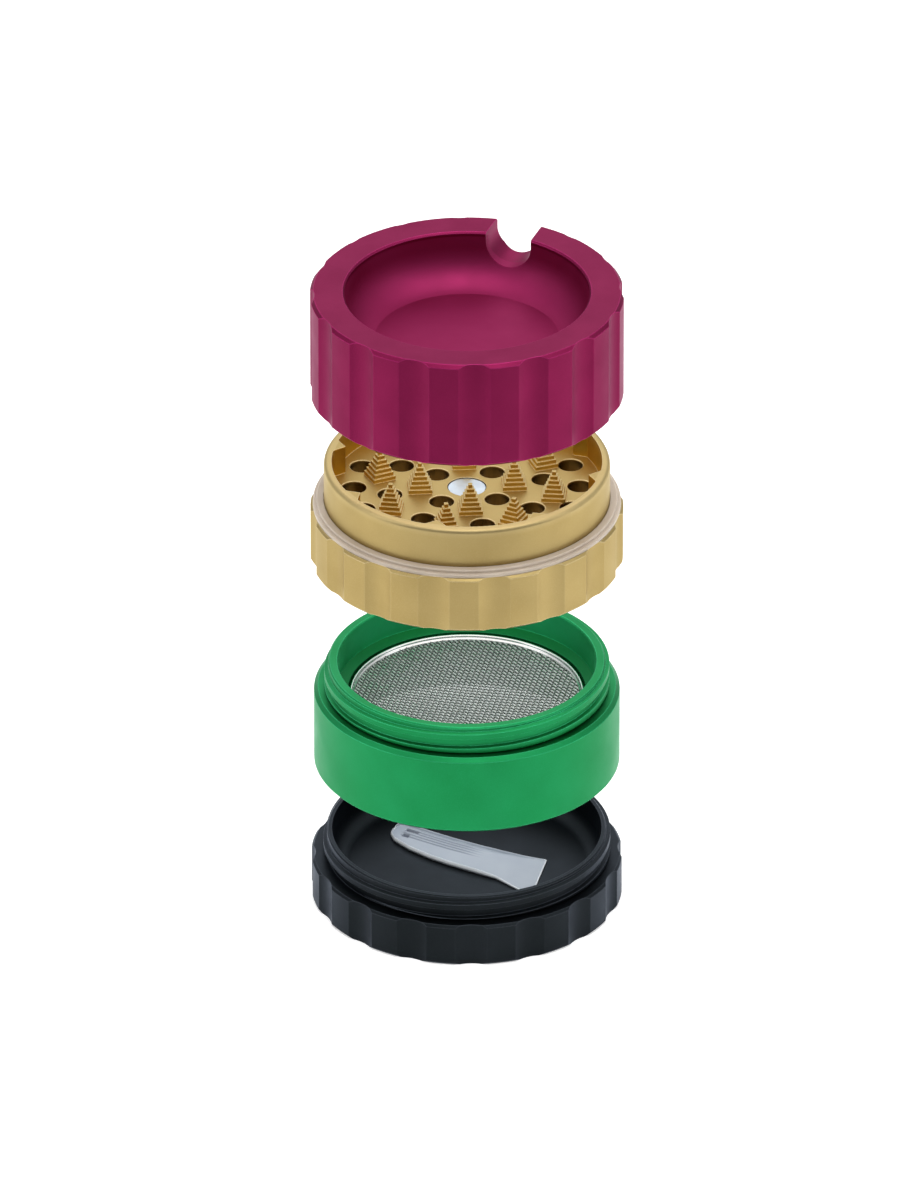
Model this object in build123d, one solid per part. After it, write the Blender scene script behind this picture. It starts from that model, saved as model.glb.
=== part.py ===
"""Four-section aluminium herb grinder, drawn apart along its axis the way it is laid out for use.

Millimetres, +Z up, axis of the grinder on Z, origin at the centre of the base tray's underside.
From the floor up: base tray with a loose scraper, sieve chamber with its screen, grinding
chamber with a magnet and a slip ring, and a lid with a dish in its top and teeth underneath.
"""
import os
from math import ceil, cos, floor, radians, sin

from build123d import *

# ---- outside of the four sections ------------------------------------------------------------
GRIP_R = 31.5            # crest of the grip ridges on lid, grinding chamber and tray
GRIP_RIDGES = 16
FLUTE_DEPTH = 0.9
FLUTE_CUTTER_R = 7.3     # the flutes are scooped with a cutter of this radius
FLUTE_EDGE_R = 0.4
LID_CHAMFER = 0.7
GRIP_CHAMFER = 0.5
LID_RIDGE_AZIMUTH = -98.6
CHAMBER_RIDGE_AZIMUTH = -91.1
TRAY_RIDGE_AZIMUTH = -99.7
MOUTH_CHAMFER = 0.5      # lead-in at the open underside of a section
SPIGOT_CHAMFER = 0.3
SMALL_CHAMFER = 0.15     # broken edges of the magnets and the slip ring
OVERLAP = 1.0            # how far joined bodies run into each other, and cutters run past

# ---- heights of the sections, and where each one stands when they are drawn apart --------------
TRAY_H = 9.0
SIEVE_H = 16.9
CHAMBER_H = 12.0
RING_H = 1.5
LID_H = 23.0
SIEVE_Z = 30.6
CHAMBER_Z = 77.3
RING_Z = CHAMBER_Z + CHAMBER_H
LID_Z = 115.0

# ---- lid -------------------------------------------------------------------------------------
DISH_R = 24.6
DISH_FLOOR_R = 18.6
DISH_DEPTH = 10.9
DISH_WALL = 3.5          # upright part of the dish wall, above its curve
DISH_CURVE_R = 7.56
DISH_CHAMFER = 0.35
LID_BORE_R = 29.0
LID_CAVITY_H = 9.0
LID_MOUTH_CHAMFER = 0.4
NOTCH_WIDTH = 9.6
NOTCH_DEPTH = 6.8
NOTCH_AZIMUTH = 69.9
LID_POST_R = 5.3
LID_POST_H = 6.2
LID_INNER_TEETH = (13.75, 6, 0.0)    # radius, count, first azimuth
LID_OUTER_TEETH = (22.1, 8, 11.0)

# ---- teeth, milled as stepped pyramids -------------------------------------------------------
TOOTH_STEPS = 7
TOOTH_STEP_H = 0.85
TOOTH_BASE = 4.8
TOOTH_TIP = 0.8
TOOTH_FOOT = 0.5         # root of a tooth inside the floor it stands on
LID_TOOTH_STEP_H = 0.88
LID_TOOTH_TURN = 45.0    # the lid's teeth point a corner at the axis
LID_OUTER_TOOTH_BASE = 3.9

# ---- grinding chamber ------------------------------------------------------------------------
SPIGOT_R = 28.8          # smooth collar of the chamber, and thread crest of the sieve chamber
CHAMBER_SPIGOT_H = 9.8
CHAMBER_LIP_R = 0.9      # rounding of the collar's outer edge
CHAMBER_FLOOR = 3.8      # floor above the shoulder
CHAMBER_WEB = 3.0
POCKET_R = 27.2
POCKET_CORNER_R = 0.9
RIB_R = 25.1
RIB_FOOT = 0.6           # foot of a rib behind the pocket wall
RIB_HALF_ANGLE = 5.8
RIB_COUNT = 8
RIB_AZIMUTH = -13.4
CHAMBER_UNDER_R = 26.0
CHAMBER_SOCKET_GAP = 0.5
HOLE_R = 2.35
HOLE_CHAMFER = 0.25
HOLE_RINGS = ((7.9, 4, 50.0), (15.8, 8, 11.4), (22.7, 16, 0.7))   # radius, count, first azimuth
INNER_TEETH = (9.5, 4, 4.0)
OUTER_TEETH_R = 18.0
OUTER_TEETH_FACES = (85.0, 20.0, 40.0, 10.0, 25.0, 83.0, 12.0, 63.0)
MAGNET_R = 3.9
MAGNET_H = 1.8
MAGNET_GAP = 0.03
MAGNET_RECESS = 0.2      # top of the magnet below the chamber floor
MAGNET_BOSS_R = 5.6
MAGNET_BOSS_H = 0.8
RING_GAP = 0.08
RING_FLANGE_R = 31.0
RING_FLANGE_H = 0.8
RING_COLLAR_R = 30.3

# ---- threads ---------------------------------------------------------------------------------
PITCH = 3.2
THREAD_DEPTH = 0.8
MALE_CREST_W = 1.15
MALE_ROOT_W = 1.75
FEMALE_CREST_W = 0.7
FEMALE_ROOT_W = 1.2
THREAD_CLEARANCE = 0.17
THREAD_BITE = 0.3        # how deep a ridge's foot is buried in the wall that carries it
THREAD_RUNOUT = 0.35     # plain collar below a male thread
THREAD_LEAD = 0.6        # plain lip above a male thread and at a socket's mouth
TRAY_THREAD_START = 0.1  # height at azimuth 0 of one crest of each screwed pair
CHAMBER_THREAD_START = 1.0

# ---- sieve chamber and its screen --------------------------------------------------------------
SIEVE_R = 30.9
SIEVE_CHAMFER = 0.85
SIEVE_FOOT_CHAMFER = 0.5
SIEVE_SPIGOT_H = 5.7
SIEVE_BORE_R = 26.0
SIEVE_BORE_CHAMFER = 0.25
SIEVE_SOCKET_DEPTH = 5.9
SCREEN_SEAT_Z = 13.7     # underside of the screen's rim above the chamber's underside
SCREEN_SEAT_R = 24.06
SCREEN_LIP_R = 22.6
SCREEN_LIP_H = 1.2
SCREEN_LIP_SLOPE = 4.0   # how far the underside slopes in to the lip
SCREEN_LEDGE_H = 1.7     # height of the ledge above the seat
SCREEN_LEDGE_RISE = 0.9
RIM_R = 24.0
RIM_INNER_R = 22.9
RIM_H = 1.3
RIM_CHAMFER = 0.3
MESH_R = 23.4
MESH_T = 0.24
MESH_GAP = 0.03
MESH_FLAT = 0.3          # width of the mesh's flat border inside the rim
MESH_SAG = 0.7
MESH_STATIONS = 8

# ---- base tray and scraper ---------------------------------------------------------------------
TRAY_SPIGOT_H = 5.2
TRAY_CREST_R = 29.1
TRAY_BORE_R = 27.3
TRAY_FLOOR_R = 24.2
TRAY_FLOOR_Z = 6.0
TRAY_WALL_Z = 9.1
TRAY_UNDER_R = 26.5
TRAY_UNDER_H = 1.6
SCRAPER_AZIMUTH = -30.3
SCRAPER_CENTRE = (0.65, 1.1)
SCRAPER_PLATE = 0.8
SCRAPER_RIM_H = 1.8
SCRAPER_RIM_W = 0.7
# outline of the scraper: handle to the left, flared and slanted blade to the right
SCRAPER_OUTLINE = (
    (-18.7, 2.3), (-18.1, 4.2), (-4.4, 4.3), (5.5, 4.5), (14.6, 6.2),
    (18.6, -7.0), (8.8, -4.4), (-2.6, -4.6), (-14.3, -3.1), (-16.8, -1.4),
)
BLADE_CUT_X = 20.3       # box that takes the rim off the blade, leaving its thin edge
BLADE_CUT_SIZE = (8.2, 30.0)
BLADE_CUT_TURN = 17.0
SCRAPER_SLOT = (3.4, 0.8)
SCRAPER_SLOT_AT = (-14.6, 2.2)

UP = (Align.CENTER, Align.CENTER, Align.MIN)
DOWN = (Align.CENTER, Align.CENTER, Align.MAX)


def turned(*points):
    """Solid turned about Z from a closed outline of (radius, height) points."""
    outline = Polyline(*[(r, 0, z) for r, z in points], close=True)
    return revolve(make_face(outline), Axis.Z)


def round_plug(radius, low, high):
    """Plain cylinder on the axis between two heights."""
    return Pos(0, 0, low) * Cylinder(radius, high - low, align=UP)


def polar(radius, azimuth):
    return radius * cos(radians(azimuth)), radius * sin(radians(azimuth))


def azimuths(count, first):
    return [first + 360.0 * k / count for k in range(count)]


def fluted_grip(low, height, ridge_azimuth, chamfer):
    """Fluted wall of a hand grip: shallow scoops between ridges whose edges are chamfered."""
    outline = Circle(GRIP_R)
    half_pitch = 180.0 / GRIP_RIDGES
    cutter_centre = GRIP_R - FLUTE_DEPTH + FLUTE_CUTTER_R
    for azimuth in azimuths(GRIP_RIDGES, ridge_azimuth + half_pitch):
        outline -= Pos(*polar(cutter_centre, azimuth)) * Circle(FLUTE_CUTTER_R)
    outline = fillet(outline.vertices(), FLUTE_EDGE_R)
    inner = GRIP_R - chamfer
    top = low + height
    envelope = turned(
        (0, low), (inner, low), (GRIP_R, low + chamfer),
        (GRIP_R, top - chamfer), (inner, top), (0, top),
    )
    return extrude(Pos(0, 0, low) * outline, height) & envelope


def thread_ridge(root_r, crest_r, root_w, crest_w, low, high, start):
    """Helical ridge between two heights; `start` is the height of its middle at azimuth 0."""
    first = start + PITCH * (floor((low - start) / PITCH) - 1)
    turns = ceil((high - first) / PITCH) + 1
    foot_r = root_r - THREAD_BITE if crest_r > root_r else root_r + THREAD_BITE
    foot_w = root_w + (root_w - crest_w) * THREAD_BITE / THREAD_DEPTH
    section = Polyline(
        (foot_r, 0, -foot_w / 2), (crest_r, 0, -crest_w / 2),
        (crest_r, 0, crest_w / 2), (foot_r, 0, foot_w / 2), close=True,
    )
    path = Helix(PITCH, turns * PITCH, root_r)
    ridge = Pos(0, 0, first) * sweep(make_face(section), path, is_frenet=True)
    inner, outer = sorted((foot_r, crest_r))
    window = round_plug(outer + OVERLAP, low, high) - round_plug(inner - OVERLAP, low, high)
    return ridge & window


def male_thread(crest_r, low, high, start):
    root_r = crest_r - THREAD_DEPTH
    return thread_ridge(root_r, crest_r, MALE_ROOT_W, MALE_CREST_W, low, high, start)


def female_thread(mate_crest_r, low, high, start):
    """Thread inside a socket; its ridge runs midway between the ridges of the mating thread."""
    root_r = mate_crest_r + THREAD_CLEARANCE
    crest_r = root_r - THREAD_DEPTH
    return thread_ridge(root_r, crest_r, FEMALE_ROOT_W, FEMALE_CREST_W, low, high, start + PITCH / 2)


def threaded_collar(crest_r, low, height, start):
    """Collar with a male thread, standing on a section whose shoulder is at `low`."""
    top = low + height
    root_r = crest_r - THREAD_DEPTH
    collar = turned(
        (0, low - OVERLAP), (root_r, low - OVERLAP), (root_r, top - SPIGOT_CHAMFER),
        (root_r - SPIGOT_CHAMFER, top), (0, top),
    )
    return collar + male_thread(crest_r, low + THREAD_RUNOUT, top - THREAD_LEAD, start)


def tooth(base_w, step_h, direction=1):
    """Stepped square pyramid standing on z = 0, or hanging from it when direction is -1."""
    shrink = (base_w - TOOTH_TIP) / (TOOTH_STEPS - 1)
    shape = Box(base_w, base_w, TOOTH_FOOT, align=DOWN if direction > 0 else UP)
    for k in range(TOOTH_STEPS):
        width = base_w - k * shrink
        shape += Box(width, width, (k + 1) * step_h, align=UP if direction > 0 else DOWN)
    return shape


def place(shape, radius, azimuth, height, turn=0.0):
    """Copy of a shape moved out from the axis and turned about its own upright line."""
    x, y = polar(radius, azimuth)
    return Pos(x, y, height) * Rot(0, 0, azimuth + turn) * shape


def make_base_tray():
    top = TRAY_H + TRAY_SPIGOT_H
    tray = fluted_grip(0, TRAY_H, TRAY_RIDGE_AZIMUTH, GRIP_CHAMFER)
    tray += threaded_collar(TRAY_CREST_R, TRAY_H, TRAY_SPIGOT_H, TRAY_THREAD_START)
    floor_edge = (TRAY_FLOOR_R, 0, TRAY_FLOOR_Z)
    wall_foot = (TRAY_BORE_R, 0, TRAY_WALL_Z)
    half_way = (TRAY_FLOOR_R + (TRAY_BORE_R - TRAY_FLOOR_R) * sin(radians(45)), 0,
                TRAY_WALL_Z - (TRAY_WALL_Z - TRAY_FLOOR_Z) * cos(radians(45)))
    bowl = make_face([
        Polyline((0, 0, top), (0, 0, TRAY_FLOOR_Z), floor_edge),
        ThreePointArc(floor_edge, half_way, wall_foot),
        Polyline(wall_foot, (TRAY_BORE_R, 0, top), (0, 0, top)),
    ])
    tray -= revolve(bowl, Axis.Z)
    tray -= round_plug(TRAY_UNDER_R, -OVERLAP, TRAY_UNDER_H)
    return tray


def make_scraper():
    outline = make_face(Polyline(*SCRAPER_OUTLINE, close=True))
    inside = make_face(offset(outline, -SCRAPER_RIM_W).wires()[0])
    scraper = extrude(outline, SCRAPER_RIM_H)
    scraper -= Pos(0, 0, SCRAPER_PLATE) * extrude(inside, SCRAPER_RIM_H)
    blade_cut = Box(*BLADE_CUT_SIZE, SCRAPER_RIM_H, align=UP)
    scraper -= Pos(BLADE_CUT_X, 0, SCRAPER_PLATE) * Rot(0, 0, BLADE_CUT_TURN) * blade_cut
    scraper -= Pos(*SCRAPER_SLOT_AT, 0) * Box(*SCRAPER_SLOT, 3 * SCRAPER_PLATE)
    return Pos(*SCRAPER_CENTRE, TRAY_FLOOR_Z) * Rot(0, 0, SCRAPER_AZIMUTH) * scraper


def make_sieve_chamber():
    shoulder = SIEVE_Z + SIEVE_H
    top = shoulder + SIEVE_SPIGOT_H
    chamber = turned(
        (0, SIEVE_Z), (SIEVE_R - SIEVE_FOOT_CHAMFER, SIEVE_Z), (SIEVE_R, SIEVE_Z + SIEVE_FOOT_CHAMFER),
        (SIEVE_R, shoulder - SIEVE_CHAMFER), (SIEVE_R - SIEVE_CHAMFER, shoulder), (0, shoulder),
    )
    chamber += threaded_collar(SPIGOT_R, shoulder, SIEVE_SPIGOT_H, CHAMBER_THREAD_START)
    socket_r = TRAY_CREST_R + THREAD_CLEARANCE
    socket_top = SIEVE_Z + SIEVE_SOCKET_DEPTH
    seat = SIEVE_Z + SCREEN_SEAT_Z
    ledge = seat + SCREEN_LEDGE_H
    chamber -= turned(
        (0, SIEVE_Z - OVERLAP), (socket_r + MOUTH_CHAMFER, SIEVE_Z - OVERLAP),
        (socket_r + MOUTH_CHAMFER, SIEVE_Z), (socket_r, SIEVE_Z + MOUTH_CHAMFER),
        (socket_r, socket_top), (SCREEN_LIP_R + SCREEN_LIP_SLOPE, socket_top),
        (SCREEN_LIP_R, seat - SCREEN_LIP_H), (SCREEN_LIP_R, seat), (SCREEN_SEAT_R, seat),
        (SCREEN_SEAT_R, ledge), (SIEVE_BORE_R, ledge + SCREEN_LEDGE_RISE),
        (SIEVE_BORE_R, top - SIEVE_BORE_CHAMFER), (SIEVE_BORE_R + SIEVE_BORE_CHAMFER, top),
        (SIEVE_BORE_R + SIEVE_BORE_CHAMFER, top + OVERLAP), (0, top + OVERLAP),
    )
    return chamber + female_thread(TRAY_CREST_R, SIEVE_Z + THREAD_LEAD, socket_top - THREAD_RUNOUT,
                                   TRAY_THREAD_START)


def make_screen_rim():
    """Rolled hem of the screen: a ring of square section with a groove that holds the mesh."""
    low = SIEVE_Z + SCREEN_SEAT_Z
    high = low + RIM_H
    middle = (low + high) / 2
    half_slot = MESH_T / 2 + MESH_GAP
    slot_r = MESH_R + MESH_GAP
    return turned(
        (RIM_INNER_R, low), (RIM_R, low), (RIM_R, high - RIM_CHAMFER), (RIM_R - RIM_CHAMFER, high),
        (RIM_INNER_R + RIM_CHAMFER, high), (RIM_INNER_R, high - RIM_CHAMFER),
        (RIM_INNER_R, middle + half_slot), (slot_r, middle + half_slot),
        (slot_r, middle - half_slot), (RIM_INNER_R, middle - half_slot),
    )


def make_screen_mesh():
    """Disc of mesh, slack in the middle, drawn as a thin plate; its edge lies flat in the hem."""
    level = SIEVE_Z + SCREEN_SEAT_Z + RIM_H / 2 - MESH_T / 2
    flat_r = RIM_INNER_R - MESH_FLAT
    stations = [k / MESH_STATIONS for k in range(MESH_STATIONS + 1)]
    bowl = [(flat_r * t, level - MESH_SAG * (1 - t * t)) for t in stations]
    upper = [(r, z + MESH_T) for r, z in reversed(bowl)]
    return turned(*bowl, (MESH_R, level), (MESH_R, level + MESH_T), *upper)


def magnet_pocket_floor():
    return CHAMBER_Z + CHAMBER_H + CHAMBER_FLOOR - MAGNET_H - MAGNET_RECESS


def pocket_outline():
    """Outline of the grinding space: a circle with pointed ribs standing in from its wall."""
    outline = Circle(POCKET_R)
    foot_r = POCKET_R + RIB_FOOT
    for azimuth in azimuths(RIB_COUNT, RIB_AZIMUTH):
        outline -= make_face(Polyline(
            polar(RIB_R, azimuth), polar(foot_r, azimuth + RIB_HALF_ANGLE),
            polar(foot_r + OVERLAP, azimuth), polar(foot_r, azimuth - RIB_HALF_ANGLE), close=True,
        ))
    middle_r = (RIB_R + POCKET_R) / 2
    corners = outline.vertices().filter_by(lambda corner: Vector(*corner).length > middle_r)
    return fillet(corners, POCKET_CORNER_R)


def make_grinding_chamber():
    shoulder = CHAMBER_Z + CHAMBER_H
    top = shoulder + CHAMBER_SPIGOT_H
    floor_z = shoulder + CHAMBER_FLOOR
    under = floor_z - CHAMBER_WEB
    chamber = fluted_grip(CHAMBER_Z, CHAMBER_H, CHAMBER_RIDGE_AZIMUTH, GRIP_CHAMFER)
    lip_centre = (SPIGOT_R - CHAMBER_LIP_R, top - CHAMBER_LIP_R)
    lip_middle = polar(CHAMBER_LIP_R, 45)
    collar = make_face([
        Polyline((0, 0, top), (0, 0, shoulder - OVERLAP), (SPIGOT_R, 0, shoulder - OVERLAP),
                 (SPIGOT_R, 0, lip_centre[1])),
        ThreePointArc((SPIGOT_R, 0, lip_centre[1]),
                      (lip_centre[0] + lip_middle[0], 0, lip_centre[1] + lip_middle[1]),
                      (lip_centre[0], 0, top)),
        Line((lip_centre[0], 0, top), (0, 0, top)),
    ])
    chamber += revolve(collar, Axis.Z)
    chamber -= extrude(Pos(0, 0, floor_z) * pocket_outline(), CHAMBER_SPIGOT_H)
    socket_r = SPIGOT_R + THREAD_CLEARANCE
    socket_top = CHAMBER_Z + SIEVE_SPIGOT_H + CHAMBER_SOCKET_GAP
    chamber -= turned(
        (0, CHAMBER_Z - OVERLAP), (socket_r + MOUTH_CHAMFER, CHAMBER_Z - OVERLAP),
        (socket_r + MOUTH_CHAMFER, CHAMBER_Z), (socket_r, CHAMBER_Z + MOUTH_CHAMFER),
        (socket_r, socket_top), (CHAMBER_UNDER_R, socket_top + OVERLAP),
        (CHAMBER_UNDER_R, under), (0, under),
    )
    chamber += female_thread(SPIGOT_R, CHAMBER_Z + THREAD_LEAD, socket_top - THREAD_RUNOUT,
                             CHAMBER_THREAD_START)
    chamber += round_plug(MAGNET_BOSS_R, under - MAGNET_BOSS_H, under + OVERLAP)
    chamber -= round_plug(MAGNET_R + MAGNET_GAP, magnet_pocket_floor(), floor_z + OVERLAP)
    drill = round_plug(HOLE_R, under - OVERLAP, floor_z + OVERLAP)
    drill += turned((0, floor_z - HOLE_CHAMFER), (HOLE_R, floor_z - HOLE_CHAMFER),
                    (HOLE_R + 2 * HOLE_CHAMFER, floor_z + HOLE_CHAMFER), (0, floor_z + HOLE_CHAMFER))
    for radius, count, first in HOLE_RINGS:
        for azimuth in azimuths(count, first):
            chamber -= place(drill, radius, azimuth, 0)
    spike = tooth(TOOTH_BASE, TOOTH_STEP_H)
    radius, count, first = INNER_TEETH
    for azimuth in azimuths(count, first):
        chamber += place(spike, radius, azimuth, floor_z)
    for azimuth, face in zip(azimuths(RIB_COUNT, RIB_AZIMUTH), OUTER_TEETH_FACES):
        chamber += place(spike, OUTER_TEETH_R, azimuth, floor_z, face - azimuth)
    return chamber


def make_chamber_magnet():
    low = magnet_pocket_floor()
    high = low + MAGNET_H
    return turned((0, low), (MAGNET_R, low), (MAGNET_R, high - SMALL_CHAMFER),
                  (MAGNET_R - SMALL_CHAMFER, high), (0, high))


def make_slip_ring():
    inner = SPIGOT_R + RING_GAP
    step = RING_Z + RING_FLANGE_H
    top = RING_Z + RING_H
    edge = SMALL_CHAMFER
    return turned(
        (inner, RING_Z), (RING_FLANGE_R - edge, RING_Z), (RING_FLANGE_R, RING_Z + edge),
        (RING_FLANGE_R, step - edge), (RING_FLANGE_R - edge, step), (RING_COLLAR_R, step),
        (RING_COLLAR_R, top - edge), (RING_COLLAR_R - edge, top), (inner, top),
    )


def dish_cutter(top):
    floor_z = top - DISH_DEPTH
    curve_top = top - DISH_WALL
    curve_centre = DISH_R - DISH_CURVE_R
    middle = polar(DISH_CURVE_R, -40)
    mouth_r = DISH_R + DISH_CHAMFER
    outline = make_face([
        Polyline((0, 0, top + OVERLAP), (0, 0, floor_z), (DISH_FLOOR_R, 0, floor_z)),
        ThreePointArc((DISH_FLOOR_R, 0, floor_z), (curve_centre + middle[0], 0, curve_top + middle[1]),
                      (DISH_R, 0, curve_top)),
        Polyline((DISH_R, 0, curve_top), (DISH_R, 0, top - DISH_CHAMFER), (mouth_r, 0, top),
                 (mouth_r, 0, top + OVERLAP), (0, 0, top + OVERLAP)),
    ])
    return revolve(outline, Axis.Z)


def make_lid():
    top = LID_Z + LID_H
    plate = LID_Z + LID_CAVITY_H
    lid = fluted_grip(LID_Z, LID_H, LID_RIDGE_AZIMUTH, LID_CHAMFER) - dish_cutter(top)
    notch_r = NOTCH_WIDTH / 2
    notch_axis = top - NOTCH_DEPTH + notch_r
    length = GRIP_R - DISH_FLOOR_R + 2 * OVERLAP
    middle = DISH_FLOOR_R + length / 2
    notch = Pos(middle, 0, notch_axis) * Rot(0, 90, 0) * Cylinder(notch_r, length)
    notch += Pos(middle, 0, notch_axis) * Box(length, NOTCH_WIDTH, NOTCH_DEPTH, align=UP)
    lid -= Rot(0, 0, NOTCH_AZIMUTH) * notch
    mouth_r = LID_BORE_R + LID_MOUTH_CHAMFER
    lid -= turned(
        (0, LID_Z - OVERLAP), (mouth_r, LID_Z - OVERLAP), (mouth_r, LID_Z),
        (LID_BORE_R, LID_Z + LID_MOUTH_CHAMFER), (LID_BORE_R, plate), (0, plate),
    )
    post_end = plate - LID_POST_H
    lid += round_plug(LID_POST_R, post_end, plate + OVERLAP)
    lid -= round_plug(MAGNET_R + MAGNET_GAP, post_end - OVERLAP, post_end + MAGNET_H)
    for base_w, ring in ((TOOTH_BASE, LID_INNER_TEETH), (LID_OUTER_TOOTH_BASE, LID_OUTER_TEETH)):
        hanging = tooth(base_w, LID_TOOTH_STEP_H, -1)
        radius, count, first = ring
        for azimuth in azimuths(count, first):
            lid += place(hanging, radius, azimuth, plate, LID_TOOTH_TURN)
    return lid


def make_lid_magnet():
    low = LID_Z + LID_CAVITY_H - LID_POST_H
    high = low + MAGNET_H
    return turned((0, low), (MAGNET_R - SMALL_CHAMFER, low), (MAGNET_R, low + SMALL_CHAMFER),
                  (MAGNET_R, high), (0, high))


PARTS = {
    "base_tray": make_base_tray,
    "scraper": make_scraper,
    "sieve_chamber": make_sieve_chamber,
    "screen_rim": make_screen_rim,
    "screen_mesh": make_screen_mesh,
    "grinding_chamber": make_grinding_chamber,
    "chamber_magnet": make_chamber_magnet,
    "slip_ring": make_slip_ring,
    "lid": make_lid,
    "lid_magnet": make_lid_magnet,
}

os.makedirs("parts", exist_ok=True)
for name, make in PARTS.items():
    export_step(make(), f"parts/{name}.step")
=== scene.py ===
import math

import bpy
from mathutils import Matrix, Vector


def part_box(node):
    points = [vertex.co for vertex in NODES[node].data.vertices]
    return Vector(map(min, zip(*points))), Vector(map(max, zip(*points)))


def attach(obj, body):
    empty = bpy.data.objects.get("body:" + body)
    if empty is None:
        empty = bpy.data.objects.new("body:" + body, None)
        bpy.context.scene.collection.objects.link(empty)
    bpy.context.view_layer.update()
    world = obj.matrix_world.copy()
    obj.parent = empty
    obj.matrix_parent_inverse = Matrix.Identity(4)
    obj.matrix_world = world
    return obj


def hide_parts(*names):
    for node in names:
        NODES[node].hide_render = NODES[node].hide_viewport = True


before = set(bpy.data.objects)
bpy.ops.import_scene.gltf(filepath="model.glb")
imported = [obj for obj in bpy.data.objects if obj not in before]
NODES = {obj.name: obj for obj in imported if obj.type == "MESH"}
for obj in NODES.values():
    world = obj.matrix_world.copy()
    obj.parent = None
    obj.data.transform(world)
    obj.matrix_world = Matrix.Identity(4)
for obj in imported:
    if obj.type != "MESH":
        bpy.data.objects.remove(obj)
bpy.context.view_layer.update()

MM = 0.001
SCENE = bpy.context.scene
SCENE.view_settings.view_transform = "Standard"

# ---- camera: a very long lens, looking along +Y and down onto the sections ---------------------
ELEVATION = math.radians(29.4)
CAMERA_DISTANCE = 5.2
VIEW_WIDTH = 181.4 * MM              # width of the picture at the aim point
AIM = Vector((-3.4, 0.0, 66.94)) * MM
SENSOR = 36.0
CLIP_START = 0.05
CLIP_END = 30.0

# ---- floor ---------------------------------------------------------------------------------------
FLOOR_SIZE = 8.0
FLOOR_WHITE = (0.93, 0.93, 0.93)
FLOOR_OFF_WHITE = (0.9, 0.9, 0.9)
# painted shade: the floor's dim colour where it comes towards the camera
FLOOR_PAINTED_DIM = (0.5, 0.5, 0.5)
FLOOR_PATCH_SCALE = 3.0              # patches of white and off-white, per metre
FLOOR_ROUGHNESS = 0.9
FLOOR_SPECULAR = 0.1
# painted light: the floor's own glow, though it is no lamp
FLOOR_PAINTED_GLOW = 0.4
FLOOR_FADE = (-0.36, -0.12)          # where along Y the floor turns from its painted dim colour to white with its painted glow

# ---- light ---------------------------------------------------------------------------------------
HORIZON_LEVEL = 0.55
ZENITH_LEVEL = 0.95
SKY_RISE = (0.0, 0.7)                # up part of the direction at which each of those two is reached
FRONT_LEVEL = 0.5                    # share of the sky's light that is left on the camera's side
FRONT_FADE = (-0.8, -0.1)            # Y part of the direction over which that dimming ends
SOFTBOX_AIM = (0, 0, 0.07)
SOFTBOXES = {                        # place, size and power of each
    "left_box": ((-0.9, -0.3, 0.5), (0.5, 0.9), 1.6),
    "right_box": ((0.9, -0.2, 0.5), (0.4, 0.8), 1.2),
    "back_box": ((0.0, 1.05, 0.82), (1.3, 0.7), 2.4),
    "top_box": ((0.1, -0.15, 1.2), (0.9, 0.9), 5.5),
    "front_top_box": ((0.1, -0.62, 1.16), (1.4, 0.3), 1.8),
}
FILL_LEVELS = {"sieve_chamber": 1.4, "grinding_chamber": 1.5, "lid": 1.6}
FILL_R = 31.0 * MM
FILL_GAP = 0.4 * MM                  # how far each fill lamp hangs below its section

# ---- grinding chamber: places read from its magnet, which lies just below its floor ------------
CHAMBER_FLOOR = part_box("chamber_magnet")[1].z + 0.2 * MM
CHAMBER_WEB = CHAMBER_FLOOR - 3.0 * MM           # underside of the web that the holes go through
HOLE_TOP = CHAMBER_FLOOR - 0.12 * MM
HOLE_LOW = CHAMBER_WEB + 0.05 * MM
HOLE_FIELD_R = 25.4 * MM
POCKET_R = 27.3 * MM
TEETH_R = 21.5 * MM
LIP_R = POCKET_R - 0.4 * MM
LIP_RISE = (CHAMBER_FLOOR + 4.0 * MM, CHAMBER_FLOOR + 5.7 * MM)      # where the painted highlight on its lip fades in
# painted shade inside the grinding space: a deeper amber on its upright walls and teeth, and dark brown in
# its holes; and a painted highlight, pale gold, on the inner edge of its lip
WALL_SHADE_AMBER = (0.60, 0.33, 0.025)
TOOTH_SHADE_AMBER = (0.74, 0.46, 0.09)
HOLE_SHADE_BROWN = (0.07, 0.03, 0.003)
LIP_HIGHLIGHT_GOLD = (0.70, 0.58, 0.33)
WALL_SHADE_SHARE = 0.85
LIP_HIGHLIGHT_SHARE = 0.2
HOLE_SHADE_SHARE = 0.97

# ---- sieve chamber: places read from its screen, which sits on a ledge in its wall -------------
LEDGE_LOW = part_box("screen_rim")[0].z + 1.4 * MM
LEDGE_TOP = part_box("screen_rim")[0].z + 2.6 * MM
SIEVE_WALL_R = 26.8 * MM
# painted light on the upright wall above the screen, and painted shade, a deeper green, on the ledge below
# it
WALL_LIGHT_GREEN = (0.03, 0.50, 0.19)
LEDGE_SHADE_GREEN = (0.004, 0.09, 0.025)
LEDGE_SHADE_SHARE = 0.75

# ---- dish in the lid's top -----------------------------------------------------------------------
DISH_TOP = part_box("lid")[1].z - 1.0 * MM
DISH_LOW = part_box("lid")[0].z + 10.0 * MM
DISH_R = 26.0 * MM
# painted light: a brighter magenta on the dish's floor and walls, which are also rougher
DISH_LIGHT_MAGENTA = (0.27, 0.017, 0.085)
DISH_ROUGHER = 0.13
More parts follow.
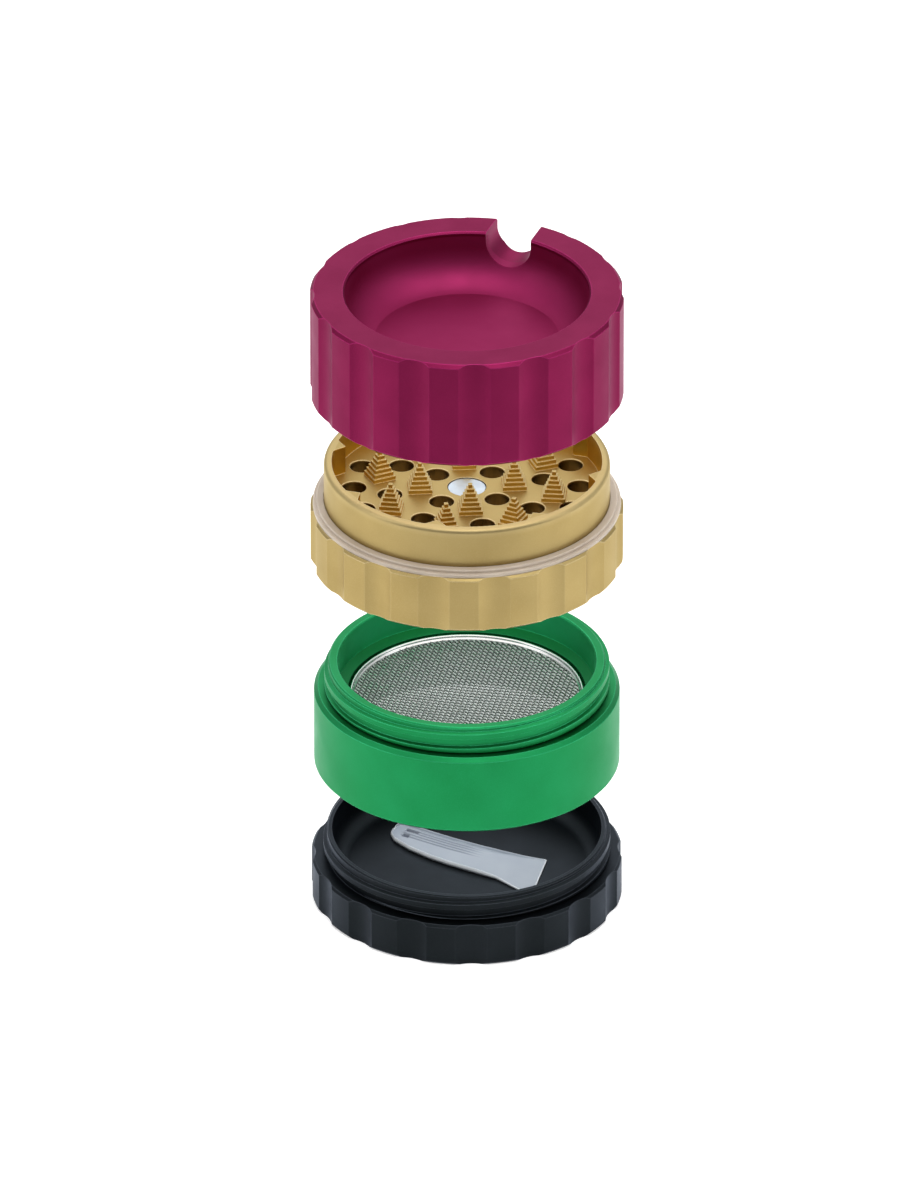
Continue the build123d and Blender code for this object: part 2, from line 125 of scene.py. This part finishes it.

# ---- anodised aluminium; its colours, like all the others, are linear red, green and blue -------
# each finish's edge colour is laid on as a painted highlight along its edges
ANODISED = {
    "magenta_anodised": {
        "colour": (0.165, 0.006, 0.045), "light": (0.27, 0.016, 0.08), "edge": (0.58, 0.04, 0.22),
        "tint": (0.88, 0.66, 0.76), "roughness": 0.42, "coat": 0.05,
    },
    "gold_anodised": {
        "colour": (0.345, 0.25, 0.092), "light": (0.49, 0.385, 0.18), "edge": (0.85, 0.72, 0.45),
        "tint": (0.95, 0.9, 0.75), "roughness": 0.42, "coat": 0.03,
    },
    "green_anodised": {
        "colour": (0.007, 0.20, 0.055), "light": (0.02, 0.30, 0.115), "edge": (0.06, 0.6, 0.27),
        "tint": (0.75, 0.95, 0.85), "roughness": 0.42, "coat": 0.05,
    },
    "black_anodised": {
        "colour": (0.003, 0.0055, 0.007), "light": (0.016, 0.020, 0.025), "edge": (0.06, 0.07, 0.085),
        "tint": (0.8, 0.85, 0.95), "roughness": 0.44, "coat": 0.12,
    },
}
MOTTLE_SCALE = 60.0                  # slow changes of shade, in waves per metre as all the scales are
MOTTLE_SHARE = 0.3
BLAST_SCALE = 5200.0                 # grain left by the bead blasting
BLAST_DEPTH = 0.012 * MM
SPECK_SHARE = 0.25
SPECK_RANGE = (0.45, 0.75)
# painted highlight along the edges: its width, and how much of the edge colour it lays on
EDGE_HIGHLIGHT_W = 0.26 * MM
EDGE_HIGHLIGHT_SHARE = 0.8
SHEEN_SCALE = 140.0
SHEEN_DOWN = 0.04                    # how far the roughness falls below its level, and rises over it
SHEEN_UP = 0.05
LATHE_PITCH = 0.22 * MM
LATHE_DEPTH = 0.004 * MM
COAT_ROUGHNESS = 0.42
COAT_IOR = 1.6

# ---- bare metals: colour, roughness, and the scale and depth of the grain ----------------------
METALS = {
    "magnet_nickel": ((0.50, 0.57, 0.64), 0.34, 900.0, 0.0005 * MM),
    "warp_steel": ((0.52, 0.56, 0.55), 0.55, 1500.0, 0.004 * MM),
    # painted shade: the weft's steel is painted darker than the warp's, though both wires are the same
    # steel
    "shaded_weft_steel": ((0.12, 0.14, 0.13), 0.35, 1500.0, 0.004 * MM),
    "polished_steel": ((0.62, 0.63, 0.64), 0.22, 700.0, 0.003 * MM),
}
METAL_SHADOW = 0.8                   # the grain's dark side, as a share of the metal's colour
METAL_SHADOW_SHARE = 0.3
METAL_SHEEN_SCALE = 400.0
METAL_SHEEN = (0.7, 1.5)             # least and most roughness, as shares of its level

# ---- plastics --------------------------------------------------------------------------------------
# each plastic's edge colour is a painted highlight along its edges and outline
PLASTICS = {
    "nylon_ring": {
        "colour": (0.56, 0.46, 0.36), "haze": (0.66, 0.56, 0.46), "edge": (0.8, 0.7, 0.58),
        "roughness": 0.4, "clear": 0.2, "scatter": 0.25,
    },
    "clear_plastic": {
        "colour": (0.245, 0.28, 0.34), "haze": (0.28, 0.315, 0.37), "edge": (0.85, 0.88, 0.92),
        "roughness": 0.30, "clear": 0.0, "scatter": 0.0,
    },
}
# painted shade in the scraper's slots and beside its ribs
PLASTIC_SHADE = (0.06, 0.07, 0.11)
PLASTIC_IOR = 1.47
# width of the painted highlight along the edges
PLASTIC_EDGE_HIGHLIGHT_W = 0.12 * MM
SCATTER_DEPTH = 1.0 * MM
CLOUD_SCALE = 120.0
PLASTIC_SHEEN_SCALE = 300.0
PLASTIC_SHEEN_DOWN = 0.02
PLASTIC_SHEEN_UP = 0.03
MOULD_SCALE = 1800.0                 # fine texture left by the mould
MOULD_DEPTH = 0.01 * MM

# ---- woven screen --------------------------------------------------------------------------------
WIRE_PITCH = 0.78 * MM
WARP_R = 0.20 * MM
WEFT_R = 0.13 * MM
WARP_SWING = 0.03 * MM               # the warp runs nearly straight and the weft bends round it
WEFT_SWING = WARP_R + WEFT_R - WARP_SWING
WIRE_START = 0.25                    # place of the wire next to the axis, in pitches
WIRE_SIDES = 6
WEAVE_R = 22.95 * MM
WEAVE_SAG = 0.7 * MM
WEAVE_AZIMUTH = math.radians(-57)
REACH_LIMIT = 0.999                  # share of the full reach past which a wire or a bend is left out

# rolled hem round the screen, as (radius, height above its seat) in millimetres
HEM_PROFILE = (
    (22.75, 0.45), (22.78, 0.78), (23.05, 0.8), (23.1, 1.1), (23.2, 1.34), (23.38, 1.46),
    (23.56, 1.42), (23.68, 1.28), (23.72, 1.0), (23.72, 0.2), (23.6, 0.05), (22.8, 0.05),
)
HEM_SEGMENTS = 240

# ---- scraper, drawn lying along X and then turned into place, in millimetres -------------------
SCRAPER_AZIMUTH = math.radians(-30.3)
SCRAPER_CENTRE = (0.65, 1.1)
SCRAPER_FLOOR = 6.06                 # a hair above the tray's floor, so that the two don't coincide
SCRAPER_UPPER = (
    (-19.0, 2.4), (-19.0, 4.1), (-17.9, 4.8), (-12.0, 4.5), (-6.3, 4.4), (0.0, 4.6), (4.6, 5.0),
    (9.0, 5.8), (13.9, 7.1),
)
SCRAPER_LOWER = (
    (-18.9, 1.6), (-18.5, -0.2), (-16.9, -1.7), (-12.5, -3.3), (-7.0, -4.25), (-2.6, -4.55),
    (3.5, -4.55), (8.8, -4.5), (13.0, -5.6), (18.5, -7.0),
)
SCRAPER_STATIONS = 260               # steps of the mesh along the scraper
SCRAPER_ACROSS = 128                 # and across it
SCRAPER_PLATE = 0.55
SCRAPER_HANDLE_START = (-17.2, -16.2)            # where along it the ribbed handle fades in
SCRAPER_HANDLE_END = (-3.0, 2.5)                 # and out
SCRAPER_BLADE = (2.0, 15.5)          # where it thins towards the tip
SCRAPER_THINNING = 0.45              # share of the plate's thickness that is lost at the tip
SCRAPER_RIM_H = 0.5                  # rim above the plate
SCRAPER_RIM_W = 0.5
SCRAPER_RIM_LOSS = 0.75              # share of the rim's height that is lost at the tip
SCRAPER_RIBS = (1.2, 2.0, 2.9, 3.8)  # distance of each finger rib from the upper edge
SCRAPER_RIB_W = 0.5
SCRAPER_RIB_H = 0.16
SCRAPER_END_W = 0.3                  # how far in from each end the top is eased down
SCRAPER_END_LOW = 0.75               # share of the height that is left there
SCRAPER_SLOTS = (                    # middle along and across, half length, half width
    (-15.2, 2.9, 1.5, 0.42),
    (-15.6, 0.85, 0.75, 0.6),
)
SCRAPER_SLOT_H = 0.12
SCRAPER_HIGHLIGHT_W = 0.3                 # painted highlight, a clear bright line round the outline
GROOVE_SHADE_HALF_W = 0.22                 # painted shade, a dark line beside each rib
# tone of the painted shade beside the ribs and in the slots, and of the painted highlight on the underside
# and the foot of the side wall
GROOVE_SHADE = 0.55
SLOT_SHADE = -1.0
UNDERSIDE_HIGHLIGHT = 0.3


def make_camera():
    data = bpy.data.cameras.new("camera")
    camera = bpy.data.objects.new("camera", data)
    SCENE.collection.objects.link(camera)
    back = Vector((0.0, -math.cos(ELEVATION), math.sin(ELEVATION)))
    camera.location = AIM + back * CAMERA_DISTANCE
    camera.rotation_euler = (-back).to_track_quat("-Z", "Y").to_euler()
    data.sensor_fit = "HORIZONTAL"
    data.sensor_width = SENSOR
    data.lens = SENSOR * CAMERA_DISTANCE / VIEW_WIDTH
    data.clip_start = CLIP_START
    data.clip_end = CLIP_END
    SCENE.camera = camera


class Nodes:
    """The node tree of a world or a material, with short calls for adding and joining nodes."""

    def __init__(self, owner):
        owner.use_nodes = True
        self.tree = owner.node_tree

    def add(self, kind, **values):
        node = self.tree.nodes.new(kind)
        for key, value in values.items():
            if key in node.inputs:
                node.inputs[key].default_value = value
            else:
                setattr(node, key, value)
        return node

    def join(self, source, target):
        self.tree.links.new(source, target)

    def give(self, value, socket):
        """Sets a socket to a number or a colour, or joins it to another socket."""
        if isinstance(value, (int, float)):
            socket.default_value = value
        elif isinstance(value, tuple):
            socket.default_value = (*value, 1.0)
        else:
            self.join(value, socket)

    def split(self, source):
        """The X, Y and Z of a vector."""
        separate = self.add("ShaderNodeSeparateXYZ")
        self.join(source, separate.inputs[0])
        return separate.outputs

    def spread(self, source, low, high, from_low=0.3, from_high=0.7):
        """Maps one range of a value onto another; the first is a noise's usual range unless given."""
        node = self.add("ShaderNodeMapRange")
        ends = {"From Min": from_low, "From Max": from_high, "To Min": low, "To Max": high}
        for key, value in ends.items():
            node.inputs[key].default_value = value
        self.join(source, node.inputs["Value"])
        return node.outputs["Result"]

    def maths(self, operation, *values):
        node = self.add("ShaderNodeMath", operation=operation)
        for value, socket in zip(values, node.inputs):
            self.give(value, socket)
        return node.outputs["Value"]

    def product(self, first, *others):
        for other in others:
            first = self.maths("MULTIPLY", first, other)
        return first

    def above(self, value, level):
        return self.maths("GREATER_THAN", value, level)

    def below(self, value, level):
        return self.maths("LESS_THAN", value, level)


class Surface(Nodes):
    """A new material's tree, with the patterns that the materials share."""

    def __init__(self, name):
        self.material = bpy.data.materials.new(name)
        super().__init__(self.material)
        self.shader = self.tree.nodes["Principled BSDF"]

    def set(self, name, value):
        self.give(value, self.shader.inputs[name])

    def place(self):
        return self.add("ShaderNodeTexCoord").outputs["Object"]

    def normal(self):
        return self.add("ShaderNodeNewGeometry").outputs["Normal"]

    def noise(self, scale, detail=2.0, source=None):
        node = self.add("ShaderNodeTexNoise", Scale=scale, Detail=detail)
        self.join(source or self.place(), node.inputs["Vector"])
        return node.outputs["Fac"]

    def mix(self, factor, first, second):
        node = self.add("ShaderNodeMix", data_type="RGBA")
        self.give(factor, node.inputs[0])
        self.give(first, node.inputs[6])
        self.give(second, node.inputs[7])
        return node.outputs[2]

    def bump(self, height, distance, strength, normal=None):
        node = self.add("ShaderNodeBump", Strength=strength, Distance=distance)
        self.join(height, node.inputs["Height"])
        if normal is not None:
            self.join(normal, node.inputs["Normal"])
        return node.outputs["Normal"]

    def edges(self, width):
        """1 along an edge and 0 on open surface, with the normal that a bevel would have there."""
        bevel = self.add("ShaderNodeBevel", samples=4, Radius=width).outputs["Normal"]
        dot = self.add("ShaderNodeVectorMath", operation="DOT_PRODUCT")
        self.join(bevel, dot.inputs[0])
        self.join(self.normal(), dot.inputs[1])
        return self.spread(dot.outputs["Value"], 1.0, 0.0, 0.9, 0.998), bevel

    def upright(self):
        """1 on upright surfaces and 0 on level ones."""
        z = self.split(self.normal())[2]
        return self.spread(self.maths("ABSOLUTE", z), 1.0, 0.0, 0.3, 0.6)

    def cylinder(self):
        """Distance from the grinder's axis, and height."""
        x, y, z = self.split(self.place())
        square = self.maths("ADD", self.product(x, x), self.product(y, y))
        return self.maths("SQRT", square), z

    def turning_marks(self, pitch):
        """Fine rings left by the lathe: noise that depends on radius and height only."""
        radius, height = self.cylinder()
        combine = self.add("ShaderNodeCombineXYZ")
        self.join(radius, combine.inputs[0])
        self.join(height, combine.inputs[1])
        return self.noise(1.0 / pitch, 1.0, combine.outputs[0])


def anodised(name, painted_light=None):
    """Bead-blasted and anodised aluminium: fine grain, faint lathe lines, and a painted highlight along its
    edges.

    The function given last takes the surface and its shade, and gives back the shade with painted light and
    painted shade in it, and the added roughness."""
    finish = ANODISED[name]
    n = Surface(name)
    mottle = n.spread(n.noise(MOTTLE_SCALE, 3.0), 0.0, MOTTLE_SHARE)
    grain = n.noise(BLAST_SCALE)
    speck = n.spread(grain, 0.0, SPECK_SHARE, *SPECK_RANGE)
    edge, rounded = n.edges(EDGE_HIGHLIGHT_W)
    shade = n.mix(mottle, finish["colour"], finish["light"])
    shade = n.mix(speck, shade, finish["light"])
    # painted highlight along the edges, in the finish's edge colour
    shade = n.mix(n.product(edge, EDGE_HIGHLIGHT_SHARE), shade, finish["edge"])
    rougher = 0.0
    # painted light and painted shade in the part's hollows, where a function for them is given
    if painted_light:
        shade, rougher = painted_light(n, shade)
    roughness = finish["roughness"]
    sheen = n.spread(n.noise(SHEEN_SCALE), roughness - SHEEN_DOWN, roughness + SHEEN_UP)
    lathe = n.bump(n.turning_marks(LATHE_PITCH), LATHE_DEPTH, 0.5, rounded)
    n.set("Base Color", shade)
    n.set("Metallic", 1.0)
    n.set("Specular Tint", finish["tint"])
    n.set("Roughness", n.maths("ADD", sheen, rougher))
    n.set("Coat Weight", finish["coat"])
    n.set("Coat Roughness", COAT_ROUGHNESS)
    n.set("Coat IOR", COAT_IOR)
    n.set("Normal", n.bump(grain, BLAST_DEPTH, 0.6, lathe))
    return n.material


def sieve_painted_light(n, shade):
    """Painted light on the upright wall above the screen, and painted shade, a deeper green, on the ledge
    that it rises from.
    """
    radius, height = n.cylinder()
    within = n.below(radius, SIEVE_WALL_R)
    wall_light = n.product(n.upright(), within, n.above(height, LEDGE_TOP))
    ledge = n.product(n.below(height, LEDGE_TOP), n.above(height, LEDGE_LOW), within, LEDGE_SHADE_SHARE)
    return n.mix(ledge, n.mix(wall_light, shade, WALL_LIGHT_GREEN), LEDGE_SHADE_GREEN), 0.0


def dish_painted_light(n, shade):
    """Painted light, a brighter magenta, on the floor and walls in the lid's dish, which are also rougher.
    """
    radius, height = n.cylinder()
    dish = n.product(n.below(radius, DISH_R), n.above(height, DISH_LOW), n.below(height, DISH_TOP))
    return n.mix(dish, shade, DISH_LIGHT_MAGENTA), n.product(dish, DISH_ROUGHER)


def chamber_painted_light(n, shade):
    """Painted shade in the grinding space, a deeper amber on its teeth and walls and dark brown in its
    holes, and a painted highlight, pale gold, on its lip.
    """
    radius, height = n.cylinder()
    wall_shade = n.product(n.upright(), n.below(radius, POCKET_R), n.above(height, CHAMBER_FLOOR), WALL_SHADE_SHARE)
    amber_shade = n.mix(n.below(radius, TEETH_R), WALL_SHADE_AMBER, TOOTH_SHADE_AMBER)
    lip_highlight = n.product(n.spread(height, 0.0, 1.0, *LIP_RISE), n.above(radius, LIP_R), LIP_HIGHLIGHT_SHARE)
    hole_shade = n.product(n.below(height, HOLE_TOP), n.above(height, HOLE_LOW),
                     n.below(radius, HOLE_FIELD_R), HOLE_SHADE_SHARE)
    shade = n.mix(lip_highlight, n.mix(wall_shade, shade, amber_shade), LIP_HIGHLIGHT_GOLD)
    return n.mix(hole_shade, shade, HOLE_SHADE_BROWN), 0.0


def metal(name):
    """Bare bright metal with a fine grain and a gloss that varies."""
    colour, roughness, grain_scale, grain_depth = METALS[name]
    n = Surface(name)
    grain = n.noise(grain_scale, 3.0)
    shadow = tuple(part * METAL_SHADOW for part in colour)
    smooth, rough = METAL_SHEEN
    n.set("Base Color", n.mix(n.spread(grain, 0.0, METAL_SHADOW_SHARE), colour, shadow))
    n.set("Metallic", 1.0)
    n.set("Roughness", n.spread(n.noise(METAL_SHEEN_SCALE), roughness * smooth, roughness * rough))
    n.set("Normal", n.bump(grain, grain_depth, 0.5))
    return n.material


def plastic(name, toned=False):
    """Moulded plastic: cloudy, more or less translucent, with a painted highlight along its edges and, if
    toned, painted highlight and painted shade from its mesh's tone.
    """
    finish = PLASTICS[name]
    n = Surface(name)
    cloud = n.spread(n.noise(CLOUD_SCALE, 3.0), 0.0, 1.0)
    edge, rounded = n.edges(PLASTIC_EDGE_HIGHLIGHT_W)
    # painted highlight along the edges
    shade = n.mix(edge, n.mix(cloud, finish["colour"], finish["haze"]), finish["edge"])
    if toned:
        # the tone paints highlight in the edge colour where it is above 0, and shade in the deep colour
        # where it is below 0
        tone = n.add("ShaderNodeAttribute", attribute_name="tone").outputs["Fac"]
        shade = n.mix(n.spread(tone, 0.0, 0.9, 0.0, 1.0), shade, finish["edge"])
        shade = n.mix(n.spread(tone, 0.8, 0.0, SLOT_SHADE, 0.0), shade, PLASTIC_SHADE)
    smooth, rough = finish["roughness"] - PLASTIC_SHEEN_DOWN, finish["roughness"] + PLASTIC_SHEEN_UP
    n.set("Base Color", shade)
    n.set("Transmission Weight", finish["clear"])
    n.set("IOR", PLASTIC_IOR)
    n.set("Subsurface Weight", finish["scatter"])
    n.shader.inputs["Subsurface Radius"].default_value = (1.0, 1.0, 1.0)
    n.set("Subsurface Scale", SCATTER_DEPTH)
    n.set("Roughness", n.spread(n.noise(PLASTIC_SHEEN_SCALE), smooth, rough))
    n.set("Normal", n.bump(n.noise(MOULD_SCALE), MOULD_DEPTH, 0.4, rounded))
    return n.material


def floor_material():
    """White paper with a painted glow under and behind the grinder, painted dimmer where it comes towards
    the camera.
    """
    n = Surface("floor_white")
    glow_share = n.spread(n.split(n.place())[1], 0.0, 1.0, *FLOOR_FADE)
    paper = n.mix(n.spread(n.noise(FLOOR_PATCH_SCALE), 0.0, 1.0), FLOOR_WHITE, FLOOR_OFF_WHITE)
    n.set("Base Color", n.mix(glow_share, FLOOR_PAINTED_DIM, paper))
    n.set("Roughness", FLOOR_ROUGHNESS)
    n.set("Specular IOR Level", FLOOR_SPECULAR)
    n.set("Emission Color", (1.0, 1.0, 1.0))
    n.set("Emission Strength", n.product(glow_share, FLOOR_PAINTED_GLOW))
    return n.material


def clad(node, material):
    """Gives a CAD node one material all over."""
    mesh = NODES[node].data
    mesh.materials.clear()
    mesh.materials.append(material)


def new_piece(name, vertices, faces, material, smooth=True):
    mesh = bpy.data.meshes.new(name)
    mesh.from_pydata(vertices, [], faces)
    mesh.validate()
    mesh.materials.append(material)
    mesh.polygons.foreach_set("use_smooth", [smooth] * len(mesh.polygons))
    piece = bpy.data.objects.new(name, mesh)
    SCENE.collection.objects.link(piece)
    return piece


def wires(name, azimuth, side, wire_r, swing, material):
    """One family of parallel wires, each passing over and under the wires that cross it."""
    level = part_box("screen_mesh")[1].z - WARP_R - WEFT_R
    along = Vector((math.cos(azimuth), math.sin(azimuth), 0.0))
    across = Vector((-along.y, along.x, 0.0))
    vertices, faces = [], []
    count = int(WEAVE_R / WIRE_PITCH)
    shift = side * WIRE_START
    for i in range(-count, count + 1):
        offset = (i + WIRE_START) * WIRE_PITCH
        if abs(offset) >= WEAVE_R * REACH_LIMIT:
            continue
        half = math.sqrt(WEAVE_R ** 2 - offset ** 2)
        stations = [(k / 2 - shift) * WIRE_PITCH for k in range(-2 * count - 1, 2 * count + 2)]
        stations = [-half] + [s for s in stations if abs(s) < half * REACH_LIMIT] + [half]
        first = len(vertices)
        for s in stations:
            wave = side * swing * math.cos(math.pi * (s / WIRE_PITCH + shift + i))
            flat = min(1.0, (half - abs(s)) / WIRE_PITCH)
            reach = (s * s + offset * offset) / WEAVE_R ** 2
            centre = along * s + across * offset
            centre.z = level - WEAVE_SAG * (1.0 - reach) + wave * flat
            for j in range(WIRE_SIDES):
                turn = 2 * math.pi * j / WIRE_SIDES
                rise = Vector((0.0, 0.0, wire_r * math.sin(turn)))
                vertices.append(centre + across * (wire_r * math.cos(turn)) + rise)
        rings = len(stations)
        for k in range(rings - 1):
            for j in range(WIRE_SIDES):
                a = first + k * WIRE_SIDES + j
                b = first + k * WIRE_SIDES + (j + 1) % WIRE_SIDES
                faces.append((a, b, b + WIRE_SIDES, a + WIRE_SIDES))
        faces.append(tuple(first + j for j in reversed(range(WIRE_SIDES))))
        faces.append(tuple(first + (rings - 1) * WIRE_SIDES + j for j in range(WIRE_SIDES)))
    piece = new_piece(name, vertices, faces, material)
    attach(piece, "screen")
    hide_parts("screen_mesh")


def turned(name, profile, low, segments, material):
    """Ring turned about Z from a closed outline of (radius, height above low) in millimetres."""
    vertices, faces = [], []
    count = len(profile)
    for k in range(segments):
        turn = 2 * math.pi * k / segments
        for radius, height in profile:
            vertices.append((radius * MM * math.cos(turn), radius * MM * math.sin(turn), low + height * MM))
    for k in range(segments):
        for j in range(count):
            a = k * count + j
            b = k * count + (j + 1) % count
            c = ((k + 1) % segments) * count + (j + 1) % count
            d = ((k + 1) % segments) * count + j
            faces.append((a, b, c, d))
    return new_piece(name, vertices, faces, material)


def make_hem(material):
    piece = turned("screen_hem", HEM_PROFILE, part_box("screen_rim")[0].z, HEM_SEGMENTS, material)
    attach(piece, "screen")
    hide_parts("screen_rim")


def point_along(points, share):
    """Point at a share of the length of a chain of points."""
    spans = [math.dist(a, b) for a, b in zip(points, points[1:])]
    left = share * sum(spans)
    for a, b, span in zip(points, points[1:], spans):
        if left <= span:
            part = left / span
            return a[0] + (b[0] - a[0]) * part, a[1] + (b[1] - a[1]) * part
        left -= span
    return points[-1]


def smoothstep(low, high, value):
    t = min(1.0, max(0.0, (value - low) / (high - low)))
    return t * t * (3 - 2 * t)


def ridge(distance, half_width):
    """1 in the middle of a rounded ridge and 0 outside it."""
    t = abs(distance) / half_width
    return 0.0 if t >= 1 else (1 - t * t) ** 0.6


def on_handle(x):
    """1 along the ribbed handle, fading out at the end and before the blade."""
    return smoothstep(*SCRAPER_HANDLE_START, x) * (1 - smoothstep(*SCRAPER_HANDLE_END, x))


def in_slot(x, y):
    for middle_x, middle_y, half_length, half_width in SCRAPER_SLOTS:
        if abs(x - middle_x) < half_length and abs(y - middle_y) < half_width:
            return True
    return False


def scraper_height(x, y, from_upper, from_lower):
    """Top surface of the scraper: plate, rims along both sides, finger ribs and two slots."""
    if in_slot(x, y):
        return SCRAPER_SLOT_H
    blade = smoothstep(*SCRAPER_BLADE, x)
    height = SCRAPER_PLATE * (1 - SCRAPER_THINNING * blade)
    half_rim = SCRAPER_RIM_W / 2
    rim = max(ridge(from_upper - half_rim, half_rim), ridge(from_lower - half_rim, half_rim))
    height += SCRAPER_RIM_H * rim * (1 - SCRAPER_RIM_LOSS * blade)
    for rib in SCRAPER_RIBS:
        height += SCRAPER_RIB_H * ridge(from_upper - rib, SCRAPER_RIB_W / 2) * on_handle(x)
    return height


def scraper_painted_light(x, y, from_outline, from_upper):
    """Painted light over the scraper: 1 for a painted highlight on its clear outline, below 0 for painted
    shade in the slots and beside the ribs.
    """
    if in_slot(x, y):
        return SLOT_SHADE
    from_groove = min(abs(from_upper - rib - SCRAPER_RIB_W / 2) for rib in SCRAPER_RIBS)
    groove_shade = GROOVE_SHADE * ridge(from_groove, GROOVE_SHADE_HALF_W) * on_handle(x)
    return 1 - smoothstep(0.0, SCRAPER_HIGHLIGHT_W, from_outline) - groove_shade


def make_scraper(material):
    """Closed skin: a fine grid on top, a flat grid below, and a wall that joins their borders."""
    columns, rows = SCRAPER_STATIONS + 1, SCRAPER_ACROSS + 1
    length = SCRAPER_UPPER[-1][0] - SCRAPER_UPPER[0][0]
    tops, bottoms, tones = [], [], []
    cos_a, sin_a = math.cos(SCRAPER_AZIMUTH), math.sin(SCRAPER_AZIMUTH)
    for i in range(columns):
        share = i / SCRAPER_STATIONS
        upper, lower = point_along(SCRAPER_UPPER, share), point_along(SCRAPER_LOWER, share)
        width = math.dist(upper, lower)
        for j in range(rows):
            t = j / SCRAPER_ACROSS
            x = lower[0] + (upper[0] - lower[0]) * t
            y = lower[1] + (upper[1] - lower[1]) * t
            from_upper, from_lower = width * (1 - t), width * t
            from_end = min(share, 1 - share) * length
            eased = smoothstep(0.0, SCRAPER_END_W, from_end)
            height = scraper_height(x, y, from_upper, from_lower)
            height *= SCRAPER_END_LOW + (1 - SCRAPER_END_LOW) * eased
            tones.append(scraper_painted_light(x, y, min(from_upper, from_lower, from_end), from_upper))
            place_x = SCRAPER_CENTRE[0] + x * cos_a - y * sin_a
            place_y = SCRAPER_CENTRE[1] + x * sin_a + y * cos_a
            tops.append((place_x * MM, place_y * MM, (SCRAPER_FLOOR + height) * MM))
            bottoms.append((place_x * MM, place_y * MM, SCRAPER_FLOOR * MM))
    under = len(tops)
    faces = []
    for i in range(columns - 1):
        for j in range(rows - 1):
            a = i * rows + j
            faces.append((a, a + rows, a + rows + 1, a + 1))
            faces.append((under + a, under + a + 1, under + a + rows + 1, under + a + rows))
    border = [i * rows for i in range(columns)]
    border += [(columns - 1) * rows + j for j in range(1, rows)]
    border += [i * rows + rows - 1 for i in range(columns - 2, -1, -1)]
    border += [j for j in range(rows - 2, 0, -1)]
    for a, b in zip(border, border[1:] + border[:1]):
        faces.append((a, under + a, under + b, b))
    piece = new_piece("scraper_skin", tops + bottoms, faces, material)
    # painted highlight and painted shade, kept on the mesh for the material to read
    tone = piece.data.attributes.new("tone", "FLOAT", "POINT")
    tone.data.foreach_set("value", tones + [UNDERSIDE_HIGHLIGHT] * under)
    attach(piece, "scraper")
    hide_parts("scraper")


def make_floor():
    half = FLOOR_SIZE / 2
    corners = [(-half, -half, 0), (half, -half, 0), (half, half, 0), (-half, half, 0)]
    floor = new_piece("floor", corners, [(0, 1, 2, 3)], floor_material(), smooth=False)


def new_lamp(name, shape, power):
    data = bpy.data.lights.new(name, "AREA")
    data.shape = shape
    data.energy = power
    lamp = bpy.data.objects.new(name, data)
    SCENE.collection.objects.link(lamp)
    return lamp


def softbox(name, position, size, power):
    lamp = new_lamp(name, "RECTANGLE", power)
    lamp.data.size, lamp.data.size_y = size
    lamp.location = position
    facing = Vector(SOFTBOX_AIM) - Vector(position)
    lamp.rotation_euler = facing.to_track_quat("-Z", "Y").to_euler()


def fill_disk(section, level):
    """Round lamp of a given radiance that hangs just below a section.

    It gives the open section under it the sky that the one above it hides."""
    area = math.pi * FILL_R ** 2
    lamp = new_lamp(f"fill_below_{section}", "DISK", level * math.pi * area)
    lamp.data.size = 2 * FILL_R
    lamp.location = (0.0, 0.0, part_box(section)[0].z - FILL_GAP)
    lamp.visible_camera = False
    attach(lamp, section)


def make_world():
    """Studio surroundings: brighter overhead than at the horizon, and dimmer on the camera's side."""
    world = bpy.data.worlds.new("studio")
    n = Nodes(world)
    direction = n.split(n.add("ShaderNodeTexCoord").outputs["Generated"])
    rise = n.spread(direction[2], HORIZON_LEVEL, ZENITH_LEVEL, *SKY_RISE)
    front = n.spread(direction[1], FRONT_LEVEL, 1.0, *FRONT_FADE)
    background = n.tree.nodes["Background"]
    n.give((1.0, 1.0, 1.0), background.inputs["Color"])
    n.give(n.product(rise, front), background.inputs["Strength"])
    SCENE.world = world


def make_studio():
    make_world()
    for name, (position, size, power) in SOFTBOXES.items():
        softbox(name, position, size, power)
    for section, level in FILL_LEVELS.items():
        fill_disk(section, level)


make_camera()
make_studio()
make_floor()

clad("lid", anodised("magenta_anodised", dish_painted_light))
clad("grinding_chamber", anodised("gold_anodised", chamber_painted_light))
clad("sieve_chamber", anodised("green_anodised", sieve_painted_light))
clad("base_tray", anodised("black_anodised"))
nickel = metal("magnet_nickel")
clad("lid_magnet", nickel)
clad("chamber_magnet", nickel)
clad("slip_ring", plastic("nylon_ring"))

wires("screen_warp", WEAVE_AZIMUTH, 1, WARP_R, WARP_SWING, metal("warp_steel"))
wires("screen_weft", WEAVE_AZIMUTH + math.pi / 2, -1, WEFT_R, WEFT_SWING, metal("shaded_weft_steel"))
make_hem(metal("polished_steel"))
make_scraper(plastic("clear_plastic", toned=True))
